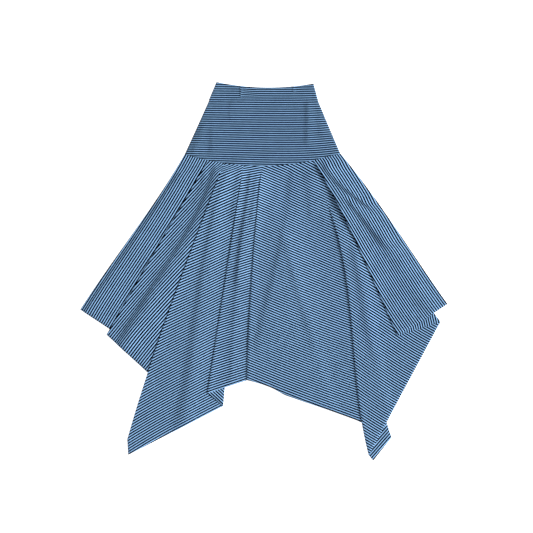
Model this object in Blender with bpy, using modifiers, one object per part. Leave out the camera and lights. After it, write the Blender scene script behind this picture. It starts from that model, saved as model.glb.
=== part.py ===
"""Flared skirt with an elastic waistband, a long hip yoke and a handkerchief hem, laid flat on a surface.

The lower skirt is a square cloth with a round hole, so it carries far more cloth round the hem than round the
hips. Laid flat, each half goes into six knife folds. Every fold starts at a point of the yoke seam and widens
towards the hem: the cloth runs under a panel to the fold's under line, turns back to its edge line, and turns
again on top as the next panel. Both halves are one continuous wall that follows the cloth through its folds.

Places in the tables are in millimetres: x to the right of the middle of the skirt, down from the waist's top.
The world is in metres, with the skirt lying on z = 0 and its waist towards +Y.
"""

import math
from collections import namedtuple

import bmesh
import bpy
import numpy as np

# Cloth and layers, in metres
WALL = 0.0012  # jersey wall
GAP = 0.0003  # between pieces at a seam
SEAM_CLEARANCE = 0.0004  # the same at the curved yoke seam, whose two edges are cut in straight steps
LAYER = 0.0017  # from the middle of one layer to the middle of the next
LOOSE_LAYER = 0.0022  # the same in a fold that lies looser
RAISED_LAYER = 0.0028  # the same where the fold stands up off the cloth
DROP = 0.016  # way in which a panel comes down beside a fold
SHOULDER = 0.004  # way past a fold's line before the panel comes down
OPENING = 0.1  # share of a fold's length in which it rises to its full height
WIDENING = 0.11  # share of its length from which it widens
WIDENED = 0.28  # share of its length from which it has its full width
FARTHEST_FOOT = 0.38  # the foot of a panel's slope comes at most this share of the way across its flat part
RIDGE_GROWTH = 0.25  # share of the length in which a panel's soft ridge rises
HEM_SETBACK = 0.004  # the back's hem stops this short of the front's
BAND_WALL = 0.003  # waistband: two layers of jersey round an elastic
BAND_SLOT = 0.0004  # between the waistband's front and back
SIDE_BENDS = (math.pi / 6, -math.pi / 6)  # where the bend at each end of the waistband has its points

# Lengths in millimetres
WAIST_TO_MIDDLE = 549.6  # from the waist's top to the middle of the skirt's length
MILLI = 0.001

# The waist's top, the seam under its casing and the yoke seam sag in shallow arcs
Edge = namedtuple("Edge", "left right left_down right_down sag")
WAIST_TOP = Edge(left=-134, right=144.5, left_down=1, right_down=5.5, sag=13)
CASING_SEAM = Edge(left=-158, right=158.5, left_down=54, right_down=58, sag=3)
YOKE_SEAM = Edge(left=-228.5, right=221.5, left_down=208, right_down=205.5, sag=35)
CASING_LEFT = -152.5  # the casing is a little narrower than the yoke that is gathered to it
CASING_RIGHT = 156.0
YOKE_CROWN = 0.0015  # rise of the front yoke in its middle, in metres
CASING_SLOPE = 1 / 3  # share of the front yoke's height in which it comes down from the casing

# The lower skirt's sides: where each meets the seam and the hem
Side = namedtuple("Side", "hem_x hem_down")
LEFT_SIDE = Side(hem_x=-532, hem_down=660)
RIGHT_SIDE = Side(hem_x=533, hem_down=644)

# Corners of the square cloth: how far across its stretch of hem each is, and its reach to the right and down
Corner = namedtuple("Corner", "across dx ddown")
LEFT_CORNER = Corner(across=0.03, dx=-2, ddown=46)
RIGHT_CORNER = Corner(across=0.86, dx=3, ddown=23)
CORNER_START = 0.72  # share of the length at which the cloth starts to reach for its corner
CORNER_CURVE = 1.5  # how late in the rest of the length it reaches

# One row for each knife fold, left to right. The edge is the line that shows, the under line is hidden.
# Bows are how far a fold's lines stray to the right at a third and at two thirds of their length.
# The corner is the one in the cloth between the two lines.
Fold = namedtuple("Fold", "seam_x edge_x edge_down under_x under_down bow_high bow_low layer corner")
FOLDS = (
    Fold(-160, -455, 733, -401, 747, 0, 0, LAYER, None),
    Fold(-114, -399, 1038, -225, 945, -6, -11, LAYER, None),
    Fold(-58, -163, 902, -118, 940, 0, 0, LAYER, None),
    Fold(-5, -48, 864, 145, 802, -6, -6, LAYER, None),
    Fold(122, 305, 1082, 370, 1031, 46, 19, LOOSE_LAYER, RIGHT_CORNER),
    Fold(144, 389, 736, 512, 696, 9, 6, RAISED_LAYER, None),
)

# One row for each panel between folds: its corner, and the soft ridge down its middle.
# The ridge's place and half width are shares of the flat part of the panel, between the folds beside it.
Panel = namedtuple("Panel", "corner ridge_seam ridge_hem ridge_rise ridge_width")
PANELS = (
    Panel(None, 0.5, 0.5, 0.001, 0.3),
    Panel(None, 0.5, 0.4, 0.0025, 0.25),
    Panel(LEFT_CORNER, 0.5, 0.5, 0.002, 0.3),
    Panel(None, 0.5, 0.5, 0.0015, 0.3),
    Panel(None, 0.3, 0.3, 0.003, 0.2),
    Panel(None, 0.45, 0.3, 0.0025, 0.22),
    Panel(None, 0.5, 0.5, 0.002, 0.3),
)
RETURN_COLUMNS = 3
BEND_STEPS = 3
ROWS = (0, 0.03, 0.055, 0.08, 0.11, 0.15, 0.22, 0.34, 0.5, 0.67, 0.83, 0.92, 1)
HALVINGS = 24  # steps in which a share across a row is found
MERGE = 1e-6  # points closer than this are one

YOKE_COLUMNS = 18
YOKE_ROWS = 6
BAND_COLUMNS = 22
BAND_ROWS = 4

# Tucks in the elastic waistband's front
Tuck = namedtuple("Tuck", "x rise width")
TUCKS = (Tuck(-67, 0.0012, 7), Tuck(10, 0.0006, 12), Tuck(85, 0.0011, 7))
TUCK_FADE = 0.7  # share of a tuck's rise that is lost by the casing's lower edge

COLLECTION = "flared_skirt"
JERSEY_BLUE = (0.105, 0.195, 0.335, 1.0)


def smooth(value):
    """A soft step from 0 to 1."""
    value = np.clip(value, 0.0, 1.0)
    return value * value * (3 - 2 * value)


def arch(share):
    """A shallow arc that is 1 in its middle and 0 at both ends."""
    return 4 * share * (1 - share)


def place(x, down):
    """A point of the tables, in metres on the plan."""
    return np.array([x, WAIST_TO_MIDDLE - down]) * MILLI


def edge_down(edge, x):
    """How far down a sagging edge is at x."""
    across = (x - edge.left) / (edge.right - edge.left)
    chord = edge.left_down + (edge.right_down - edge.left_down) * across
    return chord + edge.sag * arch(across)


class Line:
    """A line of the lower skirt, from its point on the yoke seam to its point on the hem."""

    def __init__(self, seam_x, hem_x, hem_down, bows, setback):
        self.start = place(seam_x, edge_down(YOKE_SEAM, seam_x))
        self.start[1] -= SEAM_CLEARANCE
        self.chord = place(hem_x, hem_down) - self.start
        self.chord *= 1 - setback / np.linalg.norm(self.chord)
        self.length = np.linalg.norm(self.chord)
        along = self.chord / self.length
        self.right = np.array([-along[1], along[0]])
        self.bows = bows

    def share(self, reach):
        """The share of the length that a way from the start comes to."""
        return np.clip(reach @ self.chord / self.length**2, 0, 1)

    def at(self, t):
        """The point at a share t of the length, on the cubic through the chord's ends and both bows."""
        high = 27 / 2 * t * (t - 2 / 3) * (t - 1)
        low = -27 / 2 * t * (t - 1 / 3) * (t - 1)
        stray = (high * self.bows[0] + low * self.bows[1]) * MILLI
        return self.start + self.chord * t + self.right * stray


class KnifeFold:
    """One knife fold: its edge line, its under line, and how high the cloth lies over it."""

    def __init__(self, row, setback):
        bows = (row.bow_high, row.bow_low)
        self.edge = Line(row.seam_x, row.edge_x, row.edge_down, bows, setback)
        self.under = Line(row.seam_x, row.under_x, row.under_down, bows, setback)
        self.bend = row.layer / 2
        self.corner = row.corner

    def turn(self, t):
        """How far each bend turns, in radians, at a share of the length."""
        return math.pi * smooth(t / OPENING)

    def rise(self, t):
        """Height from the lower panel to the upper one at a share of the length: what both bends climb."""
        return 2 * self.bend * (1 - math.cos(self.turn(t)))

    def overlap(self, t):
        """The way from the edge line to the under line. It opens once the fold has its full height."""
        whole = self.under.at(t) - self.edge.at(t)
        return whole * smooth((t - WIDENING) / (WIDENED - WIDENING))

    def under_at(self, t):
        """The point of the under line that the cloth reaches at a share t."""
        return self.edge.at(t) + self.overlap(t)

    def past_under(self, point):
        """How far a point is to the right of the under line."""
        t = self.under.share(point - self.edge.start)
        return (point - self.under_at(t)) @ self.under.right

    def past_edge(self, point):
        """How far a point is to the left of the edge line."""
        t = self.edge.share(point - self.edge.start)
        return (self.edge.at(t) - point) @ self.edge.right

    def lift(self, point, side):
        """How much the fold lifts the cloth over a point, falling off on the left, the right or both."""
        share = 1.0
        if side != "left":
            share *= 1 - np.clip((self.past_under(point) - SHOULDER) / DROP, 0, 1)
        if side != "right":
            share *= 1 - np.clip((self.past_edge(point) - SHOULDER) / DROP, 0, 1)
        return share * self.rise(self.edge.share(point - self.edge.start))


class HalfSkirt:
    """The front or back half of the lower skirt: one wall through all its folds."""

    def __init__(self, name, setback, below):
        self.name = name
        self.folds = [KnifeFold(row, setback) for row in FOLDS]
        self.left = Line(
            YOKE_SEAM.left, LEFT_SIDE.hem_x, LEFT_SIDE.hem_down, (0, 0), setback
        )
        self.right = Line(
            YOKE_SEAM.right, RIGHT_SIDE.hem_x, RIGHT_SIDE.hem_down, (0, 0), setback
        )
        self.below = below

    def base(self, point):
        """The height of the wall's middle where the half has no fold of its own."""
        height = WALL / 2
        if self.below is not None:
            height += LAYER + sum(f.lift(point, "both") for f in self.below.folds)
        return height

    def level(self, panel, point):
        """The height of a panel's middle: the front's folds pile up, the back's lie on the floor."""
        if self.below is not None:
            lifts = [f.lift(point, "right") for f in self.folds[:panel]]
        else:
            lifts = [f.lift(point, "left") for f in self.folds[panel:]]
        return self.base(point) + sum(lifts)

    def row_point(self, index, start, end, s, t):
        """The plan of a panel's point: a share s across it, in the row at a share t of the length."""
        plan = start * (1 - s) + end * s + corner_reach(PANELS[index].corner, s, t)
        plan[1] += self.seam_bow(index, s) * (1 - t) ** 2
        return plan

    def stations(self, index, row, t):
        """Where a panel's row gets its points, and its ridge's height at each, from one fold to the next."""
        panel = PANELS[index]
        low, high = 0.0, 1.0
        low_foot, high_foot = 0.0, 1.0
        if index > 0:
            before = self.folds[index - 1]
            low = share_where(lambda s: before.past_under(row(s)) - SHOULDER)
            low_foot = share_where(lambda s: before.past_under(row(s)) - SHOULDER - DROP)
        if index < len(self.folds):
            after = self.folds[index]
            high = share_where(lambda s: SHOULDER - after.past_edge(row(s)))
            high_foot = share_where(lambda s: SHOULDER + DROP - after.past_edge(row(s)))
        low_foot = min(low_foot, low + (high - low) * FARTHEST_FOOT)
        high_foot = max(high_foot, high - (high - low) * FARTHEST_FOOT)
        shares = [0.0]
        if panel.corner is not None:
            shares.append(min(panel.corner.across, low / 2))
        if index > 0:
            shares += [low, low_foot]
        ridge_at = panel.ridge_seam + (panel.ridge_hem - panel.ridge_seam) * t
        ridge = [0.0] * len(shares)
        for offset, rise in ((-panel.ridge_width, 0), (0, panel.ridge_rise), (panel.ridge_width, 0)):
            shares.append(low_foot + (high_foot - low_foot) * (ridge_at + offset))
            ridge.append(rise * smooth(t / RIDGE_GROWTH))
        if index < len(self.folds):
            shares += [high_foot, high]
        shares.append(1.0)
        return shares, ridge + [0.0] * (len(shares) - len(ridge))

    def seam_bow(self, index, s):
        """How far the yoke seam bows off the straight line between a panel's two ends on it, in metres."""
        left = self.folds[index - 1].edge if index > 0 else self.left
        right = self.folds[index].edge if index < len(self.folds) else self.right
        plan = left.start * (1 - s) + right.start * s
        on_seam = place(plan[0] / MILLI, edge_down(YOKE_SEAM, plan[0] / MILLI))
        return on_seam[1] - SEAM_CLEARANCE - plan[1]

    def panel_points(self, index, start, end, t):
        """A row of points across a panel."""

        def row(s):
            return self.row_point(index, start, end, s, t)

        points = []
        for s, ridge in zip(*self.stations(index, row, t)):
            plan = row(s)
            z = self.level(index, plan)
            if self.below is not None:
                z += ridge
            points.append((plan[0], plan[1], z))
        return points

    def fold_points(self, index, t):
        """A row of points through a fold: bend, return, bend."""
        fold = self.folds[index]
        edge = fold.edge.at(t)
        under = fold.under_at(t)
        right = fold.edge.right
        turn = fold.turn(t)
        low = self.level(index, under)
        high = self.level(index + 1, edge)
        upward = 1 if self.below is not None else -1
        first, second = [], []
        for step in range(BEND_STEPS + 1):
            angle = turn * step / BEND_STEPS
            out = fold.bend * (math.sin(angle) - math.sin(turn))
            climb = fold.bend * (1 - math.cos(angle)) * upward
            first.append((*(under + right * out), low + climb))
            second.append((*(edge - right * out), high - climb))
        second.reverse()
        between = []
        for column in range(1, RETURN_COLUMNS):
            s = column / RETURN_COLUMNS
            if fold.corner is not None and column == RETURN_COLUMNS - 1:
                s = fold.corner.across
            plan = under * (1 - s) + edge * s + corner_reach(fold.corner, s, t)
            z = first[-1][2] * (1 - s) + second[0][2] * s
            between.append((plan[0], plan[1], z))
        return first + between + second

    def rows(self):
        """The grid of the wall's middle, a row of points for each share of the length."""
        grid = []
        for t in ROWS:
            row = []
            start = self.left.at(t)
            for index in range(len(self.folds)):
                through = self.fold_points(index, t)
                end = np.array(through[0][:2])
                row += self.panel_points(index, start, end, t)[:-1]
                row += through[:-1]
                start = np.array(through[-1][:2])
            row += self.panel_points(len(self.folds), start, self.right.at(t), t)
            grid.append(row)
        return grid


def share_where(height):
    """The share across a row, from 0 to 1, at which a rising function of it reaches 0."""
    low, high = 0.0, 1.0
    for _ in range(HALVINGS):
        middle = (low + high) / 2
        if height(middle) < 0:
            low = middle
        else:
            high = middle
    return (low + high) / 2


def corner_reach(corner, s, t):
    """How far the cloth at a share s across reaches past the straight hem towards its corner."""
    if corner is None:
        return np.zeros(2)
    share = s / corner.across if s < corner.across else (1 - s) / (1 - corner.across)
    late = smooth((t - CORNER_START) / (1 - CORNER_START)) ** CORNER_CURVE
    return np.array([corner.dx, -corner.ddown]) * MILLI * share * late


def cloth(name, grid, wall, closed=False):
    """A wall of cloth whose middle runs through a grid of points."""
    mesh = bpy.data.meshes.new(name)
    bm = bmesh.new()
    verts = [[bm.verts.new(p) for p in row] for row in grid]
    count = len(grid[0])
    across = range(count if closed else count - 1)
    for upper, lower in zip(verts, verts[1:]):
        for i in across:
            k = (i + 1) % count
            bm.faces.new((upper[i], lower[i], lower[k], upper[k]))
    bmesh.ops.remove_doubles(bm, verts=bm.verts, dist=MERGE)
    bmesh.ops.dissolve_degenerate(bm, edges=bm.edges, dist=MERGE)
    bm.to_mesh(mesh)
    bm.free()
    mesh.shade_smooth()
    piece = bpy.data.objects.new(name, mesh)
    solidify = piece.modifiers.new("wall", "SOLIDIFY")
    solidify.thickness = wall
    solidify.offset = 0
    solidify.use_quality_normals = True
    return piece


def yoke_grid(front):
    """The front or back of the hip yoke, from just under the casing to just above the seam."""
    grid = []
    for row in range(YOKE_ROWS + 1):
        v = row / YOKE_ROWS
        left = CASING_SEAM.left + (YOKE_SEAM.left - CASING_SEAM.left) * v
        right = CASING_SEAM.right + (YOKE_SEAM.right - CASING_SEAM.right) * v
        points = []
        for column in range(YOKE_COLUMNS + 1):
            u = column / YOKE_COLUMNS
            x = left + (right - left) * u
            x_top = CASING_SEAM.left * (1 - u) + CASING_SEAM.right * u
            x_seam = YOKE_SEAM.left * (1 - u) + YOKE_SEAM.right * u
            top = edge_down(CASING_SEAM, x_top) + GAP / MILLI
            seam = edge_down(YOKE_SEAM, x_seam)
            plan = place(x, top * (1 - v) + seam * v)
            z = WALL / 2
            if front:
                z += LAYER + YOKE_CROWN * arch(u) * arch(v)
                z += (BAND_WALL + BAND_SLOT - LAYER) * smooth(1 - v / CASING_SLOPE)
            points.append((plan[0], plan[1], z))
        grid.append(points)
    return grid


def band_grid():
    """The waistband's ring, flattened: front left to right, and back right to left."""
    bend = (BAND_WALL + BAND_SLOT) / 2
    middle = BAND_WALL / 2 + bend
    right_way = place(WAIST_TOP.right, WAIST_TOP.right_down)
    right_way -= place(CASING_RIGHT, edge_down(CASING_SEAM, CASING_RIGHT))
    right_out = np.array([right_way[1], -right_way[0]]) / np.linalg.norm(right_way)
    left_way = place(WAIST_TOP.left, WAIST_TOP.left_down)
    left_way -= place(CASING_LEFT, edge_down(CASING_SEAM, CASING_LEFT))
    left_out = np.array([-left_way[1], left_way[0]]) / np.linalg.norm(left_way)
    grid = []
    for row in range(BAND_ROWS + 1):
        v = row / BAND_ROWS
        left = WAIST_TOP.left + (CASING_LEFT - WAIST_TOP.left) * v
        right = WAIST_TOP.right + (CASING_RIGHT - WAIST_TOP.right) * v
        front, back = [], []
        for column in range(BAND_COLUMNS + 1):
            u = column / BAND_COLUMNS
            x = left + (right - left) * u
            x_top = WAIST_TOP.left * (1 - u) + WAIST_TOP.right * u
            x_low = CASING_LEFT * (1 - u) + CASING_RIGHT * u
            down = edge_down(WAIST_TOP, x_top) * (1 - v) + edge_down(CASING_SEAM, x_low) * v
            plan = place(x, down)
            rise = sum(t.rise * math.exp(-(((x - t.x) / t.width) ** 2)) for t in TUCKS)
            front.append((plan[0], plan[1], middle + bend + rise * (1 - TUCK_FADE * v)))
            back.append((plan[0], plan[1], middle - bend))
        right_side, left_side = [], []
        for angle in SIDE_BENDS:
            plan = front[-1][:2] + right_out * bend * math.cos(angle)
            right_side.append((plan[0], plan[1], middle + bend * math.sin(angle)))
            plan = front[0][:2] + left_out * bend * math.cos(angle)
            left_side.append((plan[0], plan[1], middle - bend * math.sin(angle)))
        grid.append(front + right_side + back[::-1] + left_side)
    return grid


def jersey():
    """Striped cotton jersey, in its mean colour."""
    material = bpy.data.materials.new("striped_jersey")
    material.use_nodes = True
    shader = material.node_tree.nodes["Principled BSDF"]
    shader.inputs["Base Color"].default_value = JERSEY_BLUE
    shader.inputs["Roughness"].default_value = 0.9
    shader.inputs["Metallic"].default_value = 0.0
    return material


def main():
    for old in list(bpy.data.objects):
        bpy.data.objects.remove(old, do_unlink=True)
    collection = bpy.data.collections.new(COLLECTION)
    bpy.context.scene.collection.children.link(collection)
    back = HalfSkirt("skirt_back", HEM_SETBACK, None)
    front = HalfSkirt("skirt_front", 0.0, back)
    pieces = [
        cloth("waistband", band_grid(), BAND_WALL, closed=True),
        cloth("yoke_front", yoke_grid(True), WALL),
        cloth("yoke_back", yoke_grid(False), WALL),
        cloth(front.name, front.rows(), WALL),
        cloth(back.name, back.rows(), WALL),
    ]
    for piece in pieces:
        piece.data.materials.append(jersey())
        collection.objects.link(piece)


main()
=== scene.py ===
"""Looks for a flared skirt in striped jersey, laid flat in knife folds and seen from straight above.

Every piece of cloth follows the form of its solid: the same outline, folds and layers, from the same sizes. The
tables here are in millimetres, x to the right of the middle of the skirt and down from the waist's top.
"""

import math
from collections import namedtuple

import bpy
import numpy as np
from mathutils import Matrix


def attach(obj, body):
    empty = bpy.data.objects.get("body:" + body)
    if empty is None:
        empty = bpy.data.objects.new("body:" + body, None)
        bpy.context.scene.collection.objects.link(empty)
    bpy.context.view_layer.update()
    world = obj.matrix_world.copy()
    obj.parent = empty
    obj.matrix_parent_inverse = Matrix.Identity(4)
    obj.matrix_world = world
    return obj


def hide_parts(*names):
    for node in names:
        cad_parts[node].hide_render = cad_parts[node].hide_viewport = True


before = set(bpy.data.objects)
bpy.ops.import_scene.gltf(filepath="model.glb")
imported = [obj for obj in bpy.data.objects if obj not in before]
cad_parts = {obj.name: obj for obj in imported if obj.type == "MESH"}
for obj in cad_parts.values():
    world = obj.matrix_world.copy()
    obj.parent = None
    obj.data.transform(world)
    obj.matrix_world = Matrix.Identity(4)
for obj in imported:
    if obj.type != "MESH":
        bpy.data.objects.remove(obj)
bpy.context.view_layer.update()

bl_info = {
    "name": "Flared Skirt",
    "version": (1, 0, 0),
    "blender": (4, 5, 0),
    "location": "View3D > Sidebar > Skirt",
    "description": "Lays out a flared skirt in striped jersey with its waistband, yoke, folds and stitching",
    "category": "Object",
}

# Layers of cloth, in metres: as in the solids, but as thin as jersey is
WALL = 0.0007
SEAM_GAP = 0.00005  # from the casing to the yoke
SEAM_CLEARANCE = 0.0004  # from the yoke's back to the lower skirt
LAYER = 0.001  # from the middle of one layer to the next
LOOSE_LAYER = 0.0013
RAISED_LAYER = 0.0014
SHOULDER = 0.004  # beside a fold, where the cloth keeps the fold's height
DROP = 0.04  # past the shoulder, where it comes down to its own
LOOSE_DROP = 0.09  # the same where the front lies over a fold of the back
HEM_SETBACK = 0.004  # how much shorter the back is
BAND_WALL = 0.003  # the waistband's solid
BAND_SLOT = 0.0004
CASING_SINK = 0.0003
CASING_TOP = BAND_WALL + (BAND_WALL + BAND_SLOT) / 2 + BAND_WALL / 2 - CASING_SINK
# Shares of a fold's length after its start: its bends have turned, its under line leaves the edge, and is in place
OPENING = 0.1
WIDENING = 0.11
WIDENED = 0.28
FARTHEST_FOOT = 0.38  # share of a panel that the slope beside a fold takes at most
WAIST_TO_MIDDLE = 549.6  # from the waist's top down to the middle of the skirt's box
MILLI = 0.001

Edge = namedtuple("Edge", "left right left_down right_down sag")
WAIST_TOP = Edge(left=-134, right=141.5, left_down=1, right_down=5.5, sag=13)
CASING_SEAM = Edge(left=-158, right=158.5, left_down=54, right_down=58, sag=3)
YOKE_SEAM = Edge(left=-228.5, right=221.5, left_down=208, right_down=205.5, sag=35)
CASING_ENDS = (-156.5, 156.0)
CASING_WALL = 0.0026  # two layers of jersey, and half of the elastic inside
CASING_ROUNDING = 0.0011
ROUNDING_SEGMENTS = 3
SHARP = 60  # degrees from which an edge is rounded
CASING_GRID = (14, 180)  # rows and columns of points on each face
END_ANGLES = (math.pi / 3, 0, -math.pi / 3)  # the columns round each end of the casing
END_LEAN = 0.2  # how far an end's columns lean towards the waist, against the way out
YOKE_GRID = (60, 90)  # rows and columns of points
YOKE_CROWN = 0.0015  # how far the front yoke bulges in its middle
YOKE_SLOPE = 0.6  # share of the yoke's height in which it comes down from the casing
SEAM_LAP = 1.6  # millimetres by which the front yoke's seam lies over the lower skirt
SEAM_RISE = 0.00075  # and by which it rises there, in metres
SEAM_ROLL = 0.95  # share of the yoke's height at which it rises to its seam

Side = namedtuple("Side", "hem_x hem_down bows")
LEFT_SIDE = Side(hem_x=-532, hem_down=660, bows=(5, 1))
RIGHT_SIDE = Side(hem_x=533, hem_down=644, bows=(5.5, 3))

Corner = namedtuple("Corner", "across dx ddown")
LEFT_CORNER = Corner(across=0.03, dx=-6, ddown=46)
RIGHT_CORNER = Corner(across=0.86, dx=3, ddown=23)
CORNER_START = 0.72  # share of the length at which the cloth starts to reach for its corners
CORNER_CURVE = 1.5

# One row for each knife fold: the edge that shows, the hidden under line, how far both stray to the right at a third
# and two thirds of the way, the layer's height, the corner in its cloth, the share of the length at which it starts,
# and how its edge puffs up: over what width, and how high at shares of its length.
Fold = namedtuple(
    "Fold",
    "seam_x edge_x edge_down under_x under_down bow_high bow_low layer corner starts puff_width puff",
)
FOLDS = (
    Fold(-160, -455, 733, -401, 747, 0, 0, LAYER, None, 0, 12,
         ((0.3, 0), (0.46, 1.4), (0.55, 0.1), (0.62, 1.6), (0.75, 0.1), (0.85, 1.0), (0.95, 0))),
    Fold(-114, -395, 1038, -225, 945, -6, -9, LOOSE_LAYER, None, 0, 14,
         ((0.1, 0), (0.4, 0.5), (1, 0.5))),
    Fold(-58, -163, 902, -118, 940, 0, 0, LAYER, None, 0, 14,
         ((0.08, 0), (0.25, 1), (0.4, 1.2), (0.7, 0.5), (1, 0.8))),
    Fold(-5, -48, 864, 145, 802, -6, -6, LOOSE_LAYER, None, 0, 12,
         ((0.02, 0), (0.08, 1.6), (0.2, 0.6), (0.6, 0.4), (0.8, 1.4), (0.9, 0.8), (1, 0.6))),
    Fold(122, 305, 1082, 370, 1031, 46, 19, LOOSE_LAYER, RIGHT_CORNER, 0.13, 16,
         ((0.16, 0), (0.28, 1.8), (0.38, 1.6), (0.6, 0.8), (1, 0.6))),
    Fold(144, 389, 736, 512, 696, 9, 6, RAISED_LAYER, None, 0, 46,
         ((0, 0), (0.04, 5.5), (0.11, 5), (0.16, 3.5), (0.25, 8), (0.33, 7), (0.45, 1.2), (1, 0.4))),
)
PANEL_CORNERS = (None, None, LEFT_CORNER, None, None, None, None)
# Columns of faces across each panel: over the fold on its left, between its slopes, under the fold on its right
OVER_COLUMNS = (0, 10, 28, 8, 32, 12, 22)
PANEL_COLUMNS = (22, 8, 14, 6, 24, 12, 22)
UNDER_COLUMNS = (7, 16, 6, 18, 8, 12)
SLOPE_COLUMNS = 6
RETURN_COLUMNS = (8, 18, 7, 20, 9, 14)
BEND_COLUMNS = 4
ROWS = 100
FIRST_ROWS = 1.25  # rows lie closer together near the seam, where the folds start
HALVINGS = 20  # in the search for a share
MERGE = 1e-6  # points closer than this, in metres, are one

# Stripes: places on each panel, x and down, and the angle there in degrees, rising to the right
STRIPES = {
    0: ((-185, 255, 62), (-228, 328, 60), (-272, 386, 57), (-359, 502, 55), (-402, 589, 57.5), (-475, 661, 58)),
    1: ((-150, 270, 48), (-196, 328, 47), (-266, 415, 46.5), (-330, 531, 45.5), (-359, 618, 48), (-373, 690, 49.5),
        (-344, 777, 52)),
    2: ((-98, 255, 29), (-112, 328, 26), (-170, 386, 26.5), (-214, 444, 25), (-243, 531, 24.5), (-141, 531, 26.5),
        (-286, 676, 26), (-170, 719, 24.5), (-301, 763, 28), (-185, 821, 27), (-330, 908, 29), (-214, 922, 28),
        (-359, 995, 31)),
    3: ((-49, 270, 12), (-60, 386, 17), (-75, 531, 17), (-83, 647, 17), (-98, 763, 19), (-98, 841, 18)),
    4: ((-5, 299, -21.5), (105, 299, -26), (178, 299, -30), (-5, 444, -23.5), (105, 444, -26), (207, 458, -24.5),
        (-5, 618, -23), (105, 618, -25), (221, 618, -22), (-5, 763, -23), (105, 763, -22), (236, 763, -20),
        (105, 879, -20.5), (250, 922, -21)),
    5: ((250, 473, -32), (250, 632, -35), (323, 632, -34), (294, 777, -35), (366, 748, -32), (308, 893, -33),
        (366, 864, -31), (337, 995, -32), (352, 705, -33), (163, 262, -33), (189, 310, -16), (206, 357, -26),
        (218, 415, -34), (160, 235, -36), (450, 760, -30), (480, 700, -30)),
    6: ((163, 241, -56), (192, 270, -59), (250, 328, -57), (279, 415, -59), (323, 473, -61), (308, 531, -60.5),
        (395, 560, -58), (352, 618, -57.5), (439, 647, -55), (381, 690, -58), (468, 684, -53.5), (482, 632, -53)),
}
# The same on the returns, which show their wrong side where they reach past the hem
RETURN_ANGLES = (73, 114, 137, 192, 228.5, 283)
# And on the yoke, whose stripes run on through the waistband
YOKE_STRIPES = (
    (-112, 20, 0), (0, 20, 0), (130, 20, 1), (-130, 81, -0.5), (-54, 81, -0.8), (33, 81, 0), (105, 81, 0.6),
    (150, 87, 2.5), (-156, 197, -1.5), (-83, 150, -2), (4, 150, -0.8), (91, 150, 0), (-83, 205, -3),
    (4, 200, -1.5), (91, 190, 0), (134, 197, 2), (163, 197, 6), (207, 203, 10),
)
STRIPE_BLEND = 0.03  # metres over which the rows above run into each other
PANEL_GRID = (16, 9)  # places down and across each panel at which its stripes follow the table
RETURN_GRID = (9, 7)
WAIST_GRID = (9, 15)
FIRST_SHARE = 0.02  # share of the length at which they start
JOIN_POINTS = 16
NEAR_POINTS = 12  # above a fold's start, where both its sides are one cloth
SEAM_JOINS = 16  # how often those count
LATE_FOLD = 5  # this fold starts well below the seam
LATE_FROM = 0.5  # share of its start above which both its sides have the same stripes
JOIN_WEIGHT = 4  # of keeping the cloth whole through the folds, against following the angles
YOKE_SQUEEZE = 1.073  # the relaxed yoke's stripes lie this much closer together

# How far the hem of a panel lies above the straight line between its folds, at shares across it
HEM_LIFTS = {4: ((0, 0), (0.1, 5), (0.17, 6), (0.26, 0), (0.4, 3), (0.55, 7), (0.75, 10), (0.9, 7), (1, 0))}

# Soft creases that run down from the seams: points on the steep left foot of each, how wide the foot and the long
# right slope are, how far the crease rises, and how far it pushes the stripes
Crease = namedtuple("Crease", "path width spread rise shift")
CREASES = (
    Crease(((-239, 250), (-374, 452), (-506, 645), (-575, 748)), 8, 50, 5, -2),
    Crease(((-140, 236), (-150, 313), (-191, 386), (-284, 538), (-370, 690), (-462, 862)), 24, 70, 5, -2),
    Crease(((-147, 236), (-157, 313), (-198, 386), (-291, 538), (-377, 690), (-469, 862)), 9, 60, 5, -4.5),
    Crease(((-138, 236), (-150, 290), (-190, 370)), 16, 40, 4.2, -1),
    Crease(((-172, 240), (-182, 300), (-214, 372)), 9, 20, 3.2, -0.6),
    Crease(((-103, 242), (-134, 328), (-163, 458), (-192, 618), (-214, 799), (-257, 1000), (-290, 1130)),
           11, 60, 4, 0.4),
    Crease(((-70, 244), (-84, 328), (-96, 420)), 9, 20, 3.6, 0),
    Crease(((-41, 246), (-47, 328), (-66, 430), (-78, 560), (-84, 640)), 9, 34, 6, 0.4),
    Crease(((-84, 600), (-92, 740), (-99, 900)), 9, 34, 2.5, 0.2),
    Crease(((-22, 250), (-30, 330), (-42, 420)), 8, 18, 3.4, 0),
    Crease(((80, 242), (76, 313), (50, 450), (29, 545), (11, 618), (-16, 730), (-42, 840)), 13, 70, 4, 2.2),
    Crease(((60, 440), (84, 559), (113, 661), (144, 800)), 12, 60, 3, 1.6),
    Crease(((122, 240), (128, 320), (132, 410)), 9, 36, 2.6, 1.2),
    Crease(((174, 224), (203, 284), (242, 318), (326, 386)), 7, 75, 8.5, 4.5),
    Crease(((226, 326), (274, 384), (310, 428), (354, 496)), 8, 75, 7, 4),
    Crease(((250, 455), (270, 560), (294, 700), (326, 840)), 12, 30, 3.2, 2),
    Crease(((330, 420), (372, 520), (405, 580)), 14, 40, 2.4, 1),
    Crease(((385, 560), (440, 630), (480, 680)), 14, 30, 2.4, 1),
)
CREST = 0.7  # how far the crest is from the steepest place of the foot, in widths of the foot
CREASE_DEGREE = 3  # of the curve through its points
CREASE_START = 30  # millimetres in which a crease rises at its upper end
CREASE_END = 0.22  # share of its length in which it runs out
BACK_SHARE = 0.4  # share of each crease that the back has too
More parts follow.
